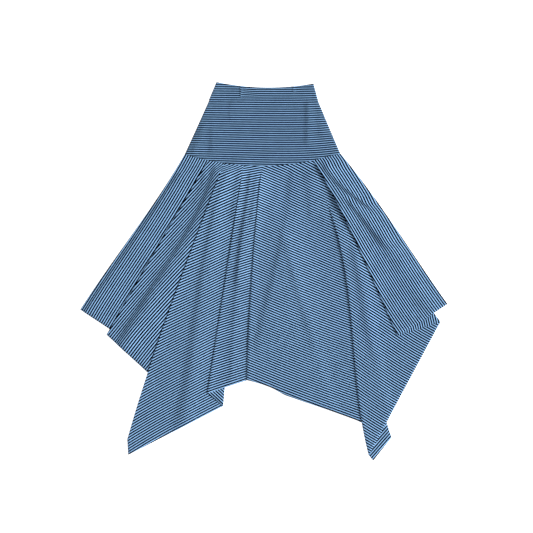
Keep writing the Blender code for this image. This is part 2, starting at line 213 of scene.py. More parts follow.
YOKE_CREASES = (
    Crease(((123, 40), (122, 120), (121, 200)), 8, 20, 3, 0.6),
    Crease(((155, 60), (158, 120), (166, 175)), 9, 24, 1.8, 0.3),
    Crease(((-172, 110), (-190, 150), (-213, 218)), 7, 20, 2.4, 0),
    Crease(((-152, 120), (-154, 170), (-158, 222)), 7, 26, 2.2, 0.3),
    Crease(((-98, 30), (-98, 70), (-102, 125)), 9, 30, 1.7, 0.3),
)
# Tucks in the waist, where the cloth is caught over the elastic: how far down each one goes, how wide and high it is,
# how far it pushes the stripes, and how far to the right that lasts
Tuck = namedtuple("Tuck", "x low width rise push lasts")
TUCKS = (Tuck(-67.4, 48, 5, 1.6, 3.2, 60), Tuck(84.8, 34, 5, 1.2, 1.6, 30))
TUCK_FOOT = 0.8  # share of its height at which a tuck starts to fade
TUCK_FRONT = 0.5  # share of its width in which it rises on its left
TUCK_JUMP = 0.25  # share of its width in which it pushes the stripes

# Colours, and what the knit gives the eye
HEX_LIGHT = "#97C5F4"
HEX_DARK = "#08111F"
HEX_THREAD = "#35578A"
HEX_FLOOR = "#F7F7F7"
WHITE = (1, 1, 1, 1)
STRIPE_PITCH = 0.0068
STRIPE_SOFTNESS = 0.035  # share of the pitch in which one colour gives way to the other, loop by loop
Cover = namedtuple("Cover", "dark_share cover")
# The dark rows' share of the pitch, wide as their loops cover the light rows' edges, and the share of each colour
# that the other's loops hide: in the lower skirt, and drawn in at the waist
TAUT = Cover(0.64, 0.0)
RELAXED = Cover(0.755, 0.055)
WALE_PITCH = 0.0012  # ribs of loops, really 0.8 mm apart, drawn coarser so that they show close by
COURSE_PITCH = 0.0009  # rows of loops, really 0.6 mm apart, drawn coarser too
LOOP_LEAN = 0.6  # how far a loop leans along the row, against its height
LOOP_BULGE = 0.0002  # how far it reaches into the next stripe
RIB_DEPTH = 0.00015
DYE_PATCH = 0.045  # size of the cloth's slightly darker patches
YARN_FLECK = 0.0022  # size of the yarn's thick and thin places
FLECK_SPREAD = 0.2  # across a fleck, against along it
NOISE_RANGE = (0.25, 0.75)  # of a noise texture's values
DYE_SHADES = (0.93, 1.05)
YARN_SHADES = (0.9, 1.1)
TWIST_PITCH = 0.0007  # turns of the thread, really 0.3 mm apart
TWIST_DEPTH = 0.0001
WAVE_PERIOD = 0.314  # of the wave texture at scale 1

# Stitches, in metres: rows above the hem and above the casing's lower edge
HEM_ROWS = (0.008, 0.0125)
CASING_ROWS = (0.004, 0.0085)
SUNK = 0.2  # of its thickness, by which the thread sits deeper than halfway in the cloth
THREAD = 0.0005  # really 0.35 mm, drawn thicker so that it shows close by
STITCH_LENGTH = 0.0027
STITCH_SPACING = 0.0032
STITCH_FACES = (6, 4)  # round a stitch and along it
PROBE = 0.004  # farther up the cloth, to find which way it faces
NEIGHBOUR = 0.001  # before and after a stitch, to find which way it lies
TINY = 1e-9

# Stage, in metres
FLOOR_SIZE = 12.0
FLOOR_DROP = 0.0002  # under the lowest stitches
CAMERA_HEIGHT = 5.0
VIEW_WIDTH = 1.5457  # the photograph's 533 pixels at 2.9 mm each
VIEW_MIDDLE = (0.008, 0.01455)
SENSOR_WIDTH = 36.0
FAR_CLIP = 100.0


def smooth(value):
    """A soft step from 0 to 1."""
    value = np.clip(value, 0.0, 1.0)
    return value * value * (3 - 2 * value)


def arch(share):
    """A shallow arc that is 1 in its middle and 0 at both ends."""
    return 4 * share * (1 - share)


def place(x, down):
    """Points of the tables, in metres on the plan."""
    return np.stack(np.broadcast_arrays(x, WAIST_TO_MIDDLE - np.asarray(down, float)), -1) * MILLI


def down_and_across(grid):
    """The shares down and across, from 0 to 1, of a grid's rows and columns."""
    return np.linspace(0, 1, grid[0])[:, None], np.linspace(0, 1, grid[1])[None, :]


def edge_down(edge, x):
    """How far down a sagging edge is at x."""
    across = (x - edge.left) / (edge.right - edge.left)
    chord = edge.left_down + (edge.right_down - edge.left_down) * across
    return chord + edge.sag * arch(across)


def strip(top, low, ends, v, u):
    """The x of a strip's points between two edges, and how far down each edge is; ends are the lower edge's."""
    left = top.left + (ends[0] - top.left) * v
    right = top.right + (ends[1] - top.right) * v
    return (left + (right - left) * u, edge_down(top, top.left * (1 - u) + top.right * u),
            edge_down(low, ends[0] * (1 - u) + ends[1] * u))


def share_where(height, count):
    """The shares across a number of rows, from 0 to 1, at which a rising function of them reaches 0."""
    low, high = np.zeros(count), np.ones(count)
    for _ in range(HALVINGS):
        middle = (low + high) / 2
        below = height(middle) < 0
        low = np.where(below, middle, low)
        high = np.where(below, high, middle)
    return (low + high) / 2


def near_hem(t):
    """How much of its reach for a corner the cloth has at shares t of the length."""
    return smooth((t - CORNER_START) / (1 - CORNER_START)) ** CORNER_CURVE


def corner_reach(corner, s, t):
    """How far the cloth at a share s across reaches past the straight hem towards its corner."""
    if corner is None:
        return np.zeros((len(t), 2))
    share = np.where(s < corner.across, s / corner.across, (1 - s) / (1 - corner.across))
    return (share * near_hem(t))[:, None] * np.array([corner.dx, -corner.ddown]) * MILLI


class Line:
    """A line of the lower skirt, from its point on the yoke seam to its point on the hem."""

    def __init__(self, seam_x, hem_x, hem_down, bows, setback):
        self.start = place(seam_x, edge_down(YOKE_SEAM, seam_x))
        self.start[1] -= SEAM_CLEARANCE
        self.chord = place(hem_x, hem_down) - self.start
        self.chord *= 1 - setback / np.linalg.norm(self.chord)
        self.length = np.linalg.norm(self.chord)
        along = self.chord / self.length
        self.right = np.array([-along[1], along[0]])
        self.bows = bows

    def share(self, points):
        """The share of the length that each point comes to."""
        return np.clip((points - self.start) @ self.chord / self.length**2, 0, 1)

    def at(self, t):
        """The points at shares t of the length, on the cubic through the chord's ends and both bows."""
        high = 27 / 2 * t * (t - 2 / 3) * (t - 1)
        low = -27 / 2 * t * (t - 1 / 3) * (t - 1)
        stray = (high * self.bows[0] + low * self.bows[1]) * MILLI
        return self.start + self.chord * t[..., None] + self.right * stray[..., None]


class KnifeFold:
    """One knife fold: its edge line, its under line, and how high the cloth lies over it."""

    def __init__(self, row, setback):
        bows = (row.bow_high, row.bow_low)
        self.row = row
        self.edge = Line(row.seam_x, row.edge_x, row.edge_down, bows, setback)
        self.under = Line(row.seam_x, row.under_x, row.under_down, bows, setback)
        self.bend = row.layer / 2

    def turn(self, t):
        """How far each bend turns, in radians, at shares of the length."""
        return math.pi * smooth((t - self.row.starts) / OPENING)

    def rise(self, t):
        """Height from the lower panel to the upper one: what both bends climb."""
        return 2 * self.bend * (1 - np.cos(self.turn(t)))

    def under_at(self, t):
        """The points of the under line, which opens from the edge line once the fold has its height."""
        whole = self.under.at(t) - self.edge.at(t)
        opened = smooth((t - self.row.starts - WIDENING) / (WIDENED - WIDENING))
        return self.edge.at(t) + whole * opened[..., None]

    def past_under(self, points):
        """How far points are to the right of the under line."""
        t = self.under.share(points)
        return np.sum((points - self.under_at(t)) * self.under.right, -1)

    def past_edge(self, points):
        """How far points are to the left of the edge line."""
        t = self.edge.share(points)
        return np.sum((self.edge.at(t) - points) * self.edge.right, -1)

    def lift(self, points, side):
        """How much the fold lifts the cloth over points, falling off on the left, the right or both sides."""
        share = np.ones(len(points))
        drop = LOOSE_DROP if side == "both" else DROP
        if side != "left":
            share *= 1 - smooth((self.past_under(points) - SHOULDER) / drop)
        if side != "right":
            share *= 1 - smooth((self.past_edge(points) - SHOULDER) / drop)
        return share * self.rise(self.edge.share(points))

    def puff(self, points):
        """How far the cloth puffs up along the fold's edge, on the panel that shows."""
        t = self.edge.share(points)
        along = np.interp(t, *zip(*self.row.puff))
        inside = np.clip(-self.past_edge(points), 0, None) / (self.row.puff_width * MILLI)
        return MILLI * along * np.exp(-inside**2)


def crease_field(points, creases=CREASES):
    """How far the soft creases raise the cloth at points, and how far they push its stripes."""
    x, down = points[..., 0] / MILLI, WAIST_TO_MIDDLE - points[..., 1] / MILLI
    rise, shift = np.zeros(x.shape), np.zeros(x.shape)
    for row in creases:
        path_x, path_down = np.array(row.path, float).T
        lean = (path_x[-1] - path_x[0]) / (path_down[-1] - path_down[0])
        curve = np.polyfit(path_down, path_x, min(CREASE_DEGREE, len(row.path) - 1))
        off = (x - np.polyval(curve, down)) / math.hypot(1, lean) - row.width * CREST
        off /= np.where(off < 0, row.width, row.spread)
        along = (down - path_down[0]) / (path_down[-1] - path_down[0])
        window = smooth((down - path_down[0]) / CREASE_START) * smooth((1 - along) / CREASE_END) * np.exp(-off**2)
        rise += row.rise * MILLI * window
        shift += row.shift * MILLI * window
    return rise, shift


def tuck_field(x, down):
    """How far the tucks raise the waist's cloth, and how far they push its stripes."""
    rise, shift = np.zeros(x.shape), np.zeros(x.shape)
    for row in TUCKS:
        fade = 1 - smooth((down - row.low * TUCK_FOOT) / (row.low * (1 - TUCK_FOOT)))
        past = (x - row.x) / row.width
        front = smooth((past + TUCK_FRONT) / TUCK_FRONT)
        rise += row.rise * MILLI * fade * front * np.exp(-np.clip(past, 0, None) ** 2)
        shift += row.push * MILLI * fade * smooth(past / TUCK_JUMP) * (1 - smooth((x - row.x) / row.lasts))
    return rise, shift


class HalfSkirt:
    """The front or back half of the lower skirt: one sheet of cloth through all its folds."""

    def __init__(self, setback, below):
        self.folds = [KnifeFold(row, setback) for row in FOLDS]
        self.left = Line(YOKE_SEAM.left, *LEFT_SIDE, setback)
        self.right = Line(YOKE_SEAM.right, *RIGHT_SIDE, setback)
        self.below = below
        self.t = np.linspace(0, 1, ROWS) ** FIRST_ROWS

    def base(self, points):
        """The height of the cloth's middle where the half has no fold of its own."""
        height = WALL / 2 + crease_field(points)[0] * (1 if self.below is not None else BACK_SHARE)
        if self.below is not None:
            height += LAYER + sum(f.lift(points, "both") for f in self.below.folds)
        return height

    def level(self, panel, points):
        """The height of a panel's middle: the front's folds pile up, the back's lie on the floor."""
        if self.below is not None:
            lifts = [f.lift(points, "right") for f in self.folds[:panel]]
        else:
            lifts = [f.lift(points, "left") for f in self.folds[panel:]]
        height = self.base(points) + sum(lifts)
        if self.below is not None and panel > 0:
            height += self.folds[panel - 1].puff(points)
        return height

    def seam_bow(self, index, s):
        """How far the yoke seam bows off the straight line between a panel's two ends on it, in metres."""
        left = self.folds[index - 1].edge if index > 0 else self.left
        right = self.folds[index].edge if index < len(self.folds) else self.right
        plan_x = left.start[0] * (1 - s) + right.start[0] * s
        plan_y = left.start[1] * (1 - s) + right.start[1] * s
        on_seam = place(plan_x / MILLI, edge_down(YOKE_SEAM, plan_x / MILLI))[..., 1]
        return on_seam - SEAM_CLEARANCE - plan_y

    def row_points(self, index, start, end, s):
        """The plan of a column of a panel: a share s across it in each row."""
        plan = start * (1 - s)[:, None] + end * s[:, None]
        plan = plan + corner_reach(PANEL_CORNERS[index], s, self.t)
        plan[:, 1] += self.seam_bow(index, s) * (1 - self.t) ** 2
        if index in HEM_LIFTS:
            plan[:, 1] += np.interp(s, *zip(*HEM_LIFTS[index])) * MILLI * near_hem(self.t)
        return plan

    def knots(self, index, start, end):
        """The shares across a panel at which its slopes start and end, and the columns between each two."""
        count = len(self.t)

        def row(s):
            return self.row_points(index, start, end, s)

        low, high = np.zeros(count), np.ones(count)
        low_foot, high_foot = np.zeros(count), np.ones(count)
        if index > 0:
            before = self.folds[index - 1]
            low = share_where(lambda s: before.past_under(row(s)) - SHOULDER, count)
            low_foot = share_where(lambda s: before.past_under(row(s)) - SHOULDER - DROP, count)
        if index < len(self.folds):
            after = self.folds[index]
            high = share_where(lambda s: SHOULDER - after.past_edge(row(s)), count)
            high_foot = share_where(lambda s: SHOULDER + DROP - after.past_edge(row(s)), count)
        low_foot = np.minimum(low_foot, low + (high - low) * FARTHEST_FOOT)
        high_foot = np.maximum(high_foot, high - (high - low) * FARTHEST_FOOT)
        shares, columns = [np.zeros(count)], []
        if PANEL_CORNERS[index] is not None:
            shares.append(np.minimum(PANEL_CORNERS[index].across, low / 2))
            columns.append(OVER_COLUMNS[index] // 2)
        if index > 0:
            shares += [low, low_foot]
            columns += [OVER_COLUMNS[index] - sum(columns), SLOPE_COLUMNS]
        if index < len(self.folds):
            shares += [high_foot, high]
            columns += [PANEL_COLUMNS[index], SLOPE_COLUMNS]
        shares.append(np.ones(count))
        columns.append(UNDER_COLUMNS[index] if index < len(self.folds) else PANEL_COLUMNS[index])
        return shares, columns

    def panel_columns(self, index, start, end):
        """The columns of points across a panel."""
        shares, columns = self.knots(index, start, end)
        found = []
        for left, right, count in zip(shares, shares[1:], columns):
            for column in range(count):
                s = left + (right - left) * column / count
                plan = self.row_points(index, start, end, s)
                found.append((plan, self.level(index, plan), index))
        return found

    def fold_columns(self, index):
        """The columns of points through a fold: bend, return, bend."""
        fold = self.folds[index]
        t = self.t
        edge, under = fold.edge.at(t), fold.under_at(t)
        right = fold.edge.right
        turn = fold.turn(t)
        low = self.level(index, under)
        high = self.level(index + 1, edge)
        upward = 1 if self.below is not None else -1
        first, second = [], []
        puffed = fold.puff(edge) if self.below is not None else 0
        for step in range(BEND_COLUMNS + 1):
            angle = turn * step / BEND_COLUMNS
            out = (fold.bend * (np.sin(angle) - np.sin(turn)))[:, None]
            climb = fold.bend * (1 - np.cos(angle)) * upward
            field = index if step * 2 <= BEND_COLUMNS else -1 - index
            first.append((under + right * out, low + climb, field))
            field = index + 1 if step * 2 <= BEND_COLUMNS else -1 - index
            share = step / BEND_COLUMNS
            second.append((edge - right * out, high - climb - puffed * share / 2, field))
        second.reverse()
        between = []
        base_under, base_edge = self.base(under), self.base(edge)
        corner = fold.row.corner
        count = RETURN_COLUMNS[index]
        for column in range(1, count):
            s = column / count
            if corner is not None:
                last = count - 2
                s = corner.across * column / last if column <= last else (1 + corner.across) / 2
            share = np.full(len(t), s)
            plan = under * (1 - s) + edge * s + corner_reach(corner, share, t)
            climb = (first[-1][1] - base_under) * (1 - s) + (second[0][1] - puffed / 2 - base_edge) * s
            puff = fold.puff(plan) / 2 if self.below is not None else 0
            between.append((plan, self.base(plan) + climb + puff, -1 - index))
        return first + between + second

    def columns(self):
        """All columns of the sheet, left to right: plan, height, and the piece of cloth that each is on."""
        found = []
        start = self.left.at(self.t)
        for index in range(len(self.folds)):
            through = self.fold_columns(index)
            found += self.panel_columns(index, start, through[0][0])
            found += through[:-1]
            start = through[-1][0]
        end = self.right.at(self.t)
        last = len(self.folds)
        found += self.panel_columns(last, start, end)
        found.append((end, self.level(last, end), last))
        return found


def both_halves():
    """The front and the back half of the lower skirt, the front laid over the back."""
    back = HalfSkirt(HEM_SETBACK, None)
    return HalfSkirt(0.0, back), back


def grid_of(columns):
    """The points of a sheet's columns as one grid."""
    return np.stack([np.concatenate([plan, z[:, None]], -1) for plan, z, _ in columns], 1)


class StripeMap:
    """Where each point of a laid piece is on the flat cloth: a polynomial for each panel and each return, which
    follows the stripes' angles and keeps the cloth running on through the folds as well as it can."""

    DEGREE = 4
    REACH = 0.5  # metres that count as 1 in the polynomials
    CALM = 0.01  # how much small terms are preferred

    def __init__(self, areas, joins=(), squeeze=1.0):
        """Areas give points and angles for each key, joins give pairs of keys and points that meet."""
        self.powers = [(a, b) for a in range(self.DEGREE + 1) for b in range(self.DEGREE + 1 - a)]
        self.slot = {key: i * len(self.powers) for i, key in enumerate(areas)}
        size = len(areas) * len(self.powers)
        lines, wanted = [np.eye(size) * self.CALM], [np.zeros((size, 2))]
        for key, (points, angles) in areas.items():
            turned = 1 if key >= 0 else -1
            slopes = self.slopes(points)
            along = np.stack([np.cos(angles), -turned * np.sin(angles)], -1)
            across = np.stack([np.sin(angles), turned * np.cos(angles)], -1)
            for axis, want in ((0, along), (1, across)):
                lines.append(self.line(size, key, slopes[axis]))
                wanted.append(want * squeeze)
        for key, points, other, others in joins:
            gap = self.line(size, key, self.terms(points)) - self.line(size, other, self.terms(others))
            lines.append(gap * JOIN_WEIGHT)
            wanted.append(np.zeros((len(points), 2)))
        self.answer = np.linalg.lstsq(np.concatenate(lines), np.concatenate(wanted), rcond=None)[0]

    def terms(self, points):
        """The polynomial's terms at points."""
        x, y = points[..., 0] / self.REACH, points[..., 1] / self.REACH
        return np.stack([x**a * y**b for a, b in self.powers], -1)

    def slopes(self, points):
        """The slopes of the terms at points, along x and along y."""
        x, y = points[..., 0] / self.REACH, points[..., 1] / self.REACH
        return (np.stack([a * x ** max(a - 1, 0) * y**b for a, b in self.powers], -1) / self.REACH,
                np.stack([b * x**a * y ** max(b - 1, 0) for a, b in self.powers], -1) / self.REACH)

    def line(self, size, key, terms):
        """Equations with the terms in the place of one piece of the cloth."""
        rows = np.zeros((len(terms), size))
        rows[:, self.slot[key]:self.slot[key] + len(self.powers)] = terms
        return rows

    def at(self, key, points):
        """The places on the flat cloth of points on one piece, in metres along the stripes and across them."""
        first = self.slot[key]
        return self.terms(points) @ self.answer[first:first + len(self.powers)]


def angles_between(rows, points):
    """Stripe angles at points, in radians, each closer row of the table counting for more."""
    x, down, degrees = np.array(rows, float).T
    weight = 1 / (np.sum((points[:, None] - place(x, down)) ** 2, -1) + STRIPE_BLEND**2) ** 2
    return weight @ np.radians(degrees) / weight.sum(1)


def between(start, end, grid):
    """A grid of points between two lines, each given by a function of shares of its length."""
    t = np.linspace(FIRST_SHARE, 1, grid[0])
    first, last = start(t), end(t)
    s = np.linspace(0, 1, grid[1])[:, None, None]
    return (first * (1 - s) + last * s).reshape(-1, 2)


def skirt_stripes(half):
    """The stripes of a half of the lower skirt, through its panels and returns."""
    areas, joins = {}, []
    starts = [half.left.at] + [fold.edge.at for fold in half.folds]
    ends = [fold.under_at for fold in half.folds] + [half.right.at]
    for index, (start, end) in enumerate(zip(starts, ends)):
        points = between(start, end, PANEL_GRID)
        areas[index] = points, angles_between(STRIPES[index], points)
    for index, (fold, degrees) in enumerate(zip(half.folds, RETURN_ANGLES)):
        points = between(fold.under_at, fold.edge.at, RETURN_GRID)
        areas[-1 - index] = points, np.full(len(points), math.radians(degrees))
        t = np.linspace(FIRST_SHARE, 1, JOIN_POINTS)
        joins.append((index, fold.under_at(t), -1 - index, fold.under_at(t)))
        joins.append((index + 1, fold.edge.at(t), -1 - index, fold.edge.at(t)))
        near = np.linspace(0, fold.row.starts + WIDENING, NEAR_POINTS)
        joins += [(index, fold.edge.at(near), index + 1, fold.edge.at(near))] * SEAM_JOINS
    return StripeMap(areas, joins)


def spot_on_cloth(cloth_map, half, key, plan):
    """Where points of a column are on the flat cloth; above a fold's start both its sides are one cloth."""
    spot = cloth_map.at(key, plan)
    if abs(key) == LATE_FOLD:
        starts = half.folds[LATE_FOLD - 1].row.starts
        begun = smooth((half.t - starts * LATE_FROM) / starts)[:, None]
        spot = cloth_map.at(LATE_FOLD - 1, plan) * (1 - begun) + spot * begun
    spot[:, 1] += crease_field(plan)[1]
    return spot


def waist_stripes():
    """The stripes of the yoke and the waistband."""
    v, u = down_and_across(WAIST_GRID)
    x = strip(CASING_SEAM, YOKE_SEAM, YOKE_SEAM[:2], v, u)[0]
    points = place(x, (YOKE_SEAM.left_down + YOKE_SEAM.sag * arch(u)) * v).reshape(-1, 2)
    return StripeMap({0: (points, angles_between(YOKE_STRIPES, points))}, (), YOKE_SQUEEZE)


def colour(hex_text):
    """A linear colour from an sRGB hex value."""
    parts = [int(hex_text[i:i + 2], 16) / 255 for i in (1, 3, 5)]
    return tuple(p / 12.92 if p <= 0.04045 else ((p + 0.055) / 1.055) ** 2.4 for p in parts) + (1.0,)


def add_node(tree, kind, settings=None, inputs=None, links=None):
    """Adds a node with its settings, its inputs' values, and links from other nodes' outputs to its inputs."""
    node = tree.nodes.new(kind)
    for name, value in (settings or {}).items():
        setattr(node, name, value)
    for name, value in (inputs or {}).items():
        node.inputs[name].default_value = value
    for name, output in (links or {}).items():
        tree.links.new(output, node.inputs[name])
    return node


def new_material(name, values):
    """A new material, and its shader with values for its inputs."""
    material = bpy.data.materials.new(name)
    material.use_nodes = True
    shader = material.node_tree.nodes["Principled BSDF"]
    for key, value in values.items():
        shader.inputs[key].default_value = value
    return material, shader


def deselect():
    """Leaves nothing selected."""
    for item in bpy.context.selected_objects:
        item.select_set(False)


def lay_sheet(name, points, spots, wall, material, rounding=0):
    """A sheet of cloth from a grid: a plane of that many faces, laid on the points and given its thickness."""
    rows, columns = points.shape[:2]
    deselect()
    bpy.ops.mesh.primitive_grid_add(x_subdivisions=columns - 1, y_subdivisions=rows - 1, size=1.0)
    piece = bpy.context.active_object
    piece.name = piece.data.name = name
    mesh = piece.data
    mesh.vertices.foreach_set("co", points[::-1].reshape(-1, 3).astype(np.float32).ravel())
    corners = np.empty(len(mesh.loops), np.int32)
    mesh.loops.foreach_get("vertex_index", corners)
    flat = spots[::-1].reshape(-1, 2)[corners]
    mesh.uv_layers[0].name = "cloth"
    mesh.uv_layers[0].data.foreach_set("uv", flat.astype(np.float32).ravel())
    mesh.update()
    bpy.ops.object.mode_set(mode="EDIT")
    bpy.ops.mesh.select_all(action="SELECT")
    bpy.ops.mesh.remove_doubles(threshold=MERGE)
    bpy.ops.mesh.dissolve_degenerate(threshold=MERGE)
    bpy.ops.object.mode_set(mode="OBJECT")
    bpy.ops.object.shade_smooth()
    modifier = piece.modifiers.new("wall", "SOLIDIFY")
    modifier.thickness = wall
    modifier.offset = 0
    modifier.use_quality_normals = True
    bpy.ops.object.modifier_apply(modifier="wall")
    if rounding:
        modifier = piece.modifiers.new("rounding", "BEVEL")
        modifier.width = rounding
        modifier.segments = ROUNDING_SEGMENTS
        modifier.limit_method = "ANGLE"
        modifier.angle_limit = math.radians(SHARP)
        bpy.ops.object.modifier_apply(modifier="rounding")
    piece.data.materials.append(material)
    return piece


def striped_jersey(name, dark_share, cover, settings):
    """Single jersey of combed cotton, yarn-dyed in two blues and knitted in stripes: matt, with a soft bloom, fine
    ribs of loops up the back of each stripe and a slightly uneven dye."""
    material, shader = new_material(
        name, {"Roughness": 0.95, "Sheen Weight": 0.03, "Sheen Roughness": 0.3, "Specular IOR Level": 0.03})
    tree = material.node_tree
    cloth = add_node(tree, "ShaderNodeUVMap", {"uv_map": "cloth"}).outputs["UV"]
    parts = add_node(tree, "ShaderNodeSeparateXYZ", links={"Vector": cloth})
    along, across = parts.outputs["X"], parts.outputs["Y"]
    course = add_node(tree, "ShaderNodeMath", {"operation": "PINGPONG"}, {1: COURSE_PITCH / 2}, {0: across})
    leaning = add_node(tree, "ShaderNodeMath", {"operation": "MULTIPLY_ADD"}, {1: LOOP_LEAN},
                       {0: course.outputs[0], 2: along})
    wale = add_node(tree, "ShaderNodeMath", {"operation": "PINGPONG"}, {1: WALE_PITCH / 2}, {0: leaning.outputs[0]})
    loops = add_node(tree, "ShaderNodeMapRange", {"interpolation_type": "SMOOTHSTEP"}, {"From Max": WALE_PITCH / 2},
                     {"Value": wale.outputs[0]})
    bulge = add_node(tree, "ShaderNodeMath", {"operation": "MULTIPLY_ADD"}, {1: LOOP_BULGE},
                     {0: loops.outputs["Result"], 2: across})
    place_in = add_node(tree, "ShaderNodeMath", {"operation": "DIVIDE"}, {1: settings.stripe_pitch},
                        {0: bulge.outputs[0]})
    share = add_node(tree, "ShaderNodeMath", {"operation": "PINGPONG"}, {1: 0.5}, {0: place_in.outputs[0]})
    light = add_node(tree, "ShaderNodeMapRange", {"interpolation_type": "SMOOTHSTEP"},
                     {"From Min": dark_share / 2 - STRIPE_SOFTNESS, "From Max": dark_share / 2 + STRIPE_SOFTNESS,
                      "To Min": cover, "To Max": 1 - cover}, {"Value": share.outputs[0]})
    paint = add_node(tree, "ShaderNodeMix", {"data_type": "RGBA"},
                     {6: settings.dark_stripe, 7: settings.light_stripe}, {0: light.outputs["Result"]})
    dye = add_node(tree, "ShaderNodeTexNoise", inputs={"Scale": 1 / DYE_PATCH, "Detail": 2.0}, links={"Vector": cloth})
    stretched = add_node(tree, "ShaderNodeVectorMath", {"operation": "MULTIPLY"}, {1: (FLECK_SPREAD, 1, 1)},
                         {0: cloth})
    yarn = add_node(tree, "ShaderNodeTexNoise", inputs={"Scale": 1 / YARN_FLECK, "Detail": 1.0},
                    links={"Vector": stretched.outputs[0]})
    dyed, flecked = (
        add_node(tree, "ShaderNodeMapRange",
                 inputs=dict(zip(("From Min", "From Max", "To Min", "To Max"), NOISE_RANGE + shades_of)),
                 links={"Value": noise.outputs[0]}).outputs["Result"]
        for noise, shades_of in ((dye, DYE_SHADES), (yarn, YARN_SHADES)))
    uneven = add_node(tree, "ShaderNodeMath", {"operation": "MULTIPLY"}, links={0: dyed, 1: flecked})
    worn = add_node(tree, "ShaderNodeMix", {"data_type": "RGBA", "blend_type": "MULTIPLY"}, {0: 1.0},
                    {6: paint.outputs[2], 7: uneven.outputs[0]})
    tree.links.new(worn.outputs[2], shader.inputs["Base Color"])
    ribs = add_node(tree, "ShaderNodeBump", inputs={"Strength": 0.4, "Distance": RIB_DEPTH},
                    links={"Height": loops.outputs["Result"]})
    tree.links.new(ribs.outputs["Normal"], shader.inputs["Normal"])
    return material


def sewing_thread(settings):
    """Spun polyester thread in the jersey's middle blue: a faint gloss over a tight twist."""
    material, shader = new_material(
        "spun_polyester_thread", {"Base Color": settings.thread_colour, "Roughness": 0.6, "Sheen Weight": 0.1})
    tree = material.node_tree
    place_at = add_node(tree, "ShaderNodeTexCoord").outputs["Object"]
    twist = add_node(tree, "ShaderNodeTexWave", {"bands_direction": "DIAGONAL"}, {"Scale": WAVE_PERIOD / TWIST_PITCH},
                     {"Vector": place_at})
    plies = add_node(tree, "ShaderNodeBump", inputs={"Strength": 0.5, "Distance": TWIST_DEPTH},
                     links={"Height": twist.outputs["Fac"]})
    tree.links.new(plies.outputs["Normal"], shader.inputs["Normal"])
    return material


def finish_piece(piece, node):
    """Ties a piece to the solid that it stands for."""
    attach(piece, "root")
    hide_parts(node)


def jersey_of(settings, relaxed=False):
    """The skirt's one jersey, made once as it hangs in the lower skirt and once as it relaxes in the waist."""
    name = "yarn_dyed_striped_jersey" + ("_relaxed" if relaxed else "")
    found = bpy.data.materials.get(name)
    return found or striped_jersey(name, *(RELAXED if relaxed else TAUT), settings)


def casing_grid():
    """The casing: its points down and round, front first, and how far its tucks push the stripes."""
    bend = (BAND_WALL + BAND_SLOT) / 2
    middle = BAND_WALL / 2 + bend
    v, u = down_and_across(CASING_GRID)
    x, top, low = strip(WAIST_TOP, CASING_SEAM, CASING_ENDS, v, u)
    down = top * (1 - v) + low * v
    plan = place(x, down)
    rise, shift = tuck_field(x, down)
    front = np.concatenate([plan, middle + bend + rise[..., None]], -1)
    back = np.concatenate([plan, np.full(x.shape + (1,), middle - bend)], -1)[:, ::-1]
    ends = []
    for edge, sign in ((plan[:, -1], 1), (plan[:, 0], -1)):
        for angle in END_ANGLES:
            at = edge + np.array([sign, END_LEAN]) * bend * math.cos(angle)
            height = np.full((len(at), 1), middle + sign * bend * math.sin(angle))
            ends.append(np.concatenate([at, height], -1)[:, None])
    turned = len(END_ANGLES)
    return np.concatenate([front, *ends[:turned], back, *ends[turned:], front[:, :1]], 1), shift


def seam_path(grid, above):
    """A line on a strip of cloth, a distance above its last row: its points, and the way up off the cloth."""
    steps = np.linalg.norm(np.diff(grid[::-1], axis=0), axis=-1)
    so_far = np.concatenate([np.zeros((1, grid.shape[1])), np.cumsum(steps, 0)])

    def line(distance):
        return np.stack([[np.interp(distance, so_far[:, c], grid[::-1, c, axis]) for axis in range(3)]
                         for c in range(grid.shape[1])])

    points = line(above)
    up = np.cross(np.gradient(points, axis=0), line(above + PROBE) - points)
    up /= np.maximum(np.linalg.norm(up, axis=-1, keepdims=True), TINY)
    return points, up * np.where(up[:, 2:] < 0, -1, 1)


def sew(name, paths, settings):
    """Stitches along paths of points and ways up: one is modelled, and the others are its copies."""
    deselect()
    bpy.ops.mesh.primitive_uv_sphere_add(
        segments=STITCH_FACES[0], ring_count=STITCH_FACES[1], radius=0.5, rotation=(0, math.pi / 2, 0),
        scale=(settings.thread, settings.thread, settings.stitch_length))
    piece = bpy.context.active_object
    bpy.ops.object.transform_apply(location=False, rotation=True, scale=True)
    one = np.array([v.co for v in piece.data.vertices])
    faces = [list(f.vertices) for f in piece.data.polygons]
    found = []
    for points, up in paths:
        so_far = np.concatenate([[0], np.cumsum(np.linalg.norm(np.diff(points, axis=0), axis=-1))])
        at = np.arange(settings.stitch_spacing / 2, so_far[-1], settings.stitch_spacing)
        centre, upward, before, after = (
            np.stack([np.interp(np.clip(at + step, 0, so_far[-1]), so_far, field[:, axis]) for axis in range(3)], -1)
            for field, step in ((points, 0), (up, 0), (points, -NEIGHBOUR), (points, NEIGHBOUR)))
        along = after - before
        along /= np.linalg.norm(along, axis=-1, keepdims=True)
        side = np.cross(upward, along)
        side /= np.linalg.norm(side, axis=-1, keepdims=True)
        frames = np.stack([along, side, np.cross(along, side)], 1)
        found.append(centre[:, None] + one @ frames)
    copies = np.concatenate(found)
    mesh = bpy.data.meshes.new(name)
    mesh.from_pydata(copies.reshape(-1, 3).tolist(), [],
                     [[v + len(one) * i for v in face] for i in range(len(copies)) for face in faces])
    mesh.materials.append(bpy.data.materials.get("spun_polyester_thread") or sewing_thread(settings))
    piece.data = mesh
    piece.name = name
    bpy.ops.object.shade_smooth()
    return piece


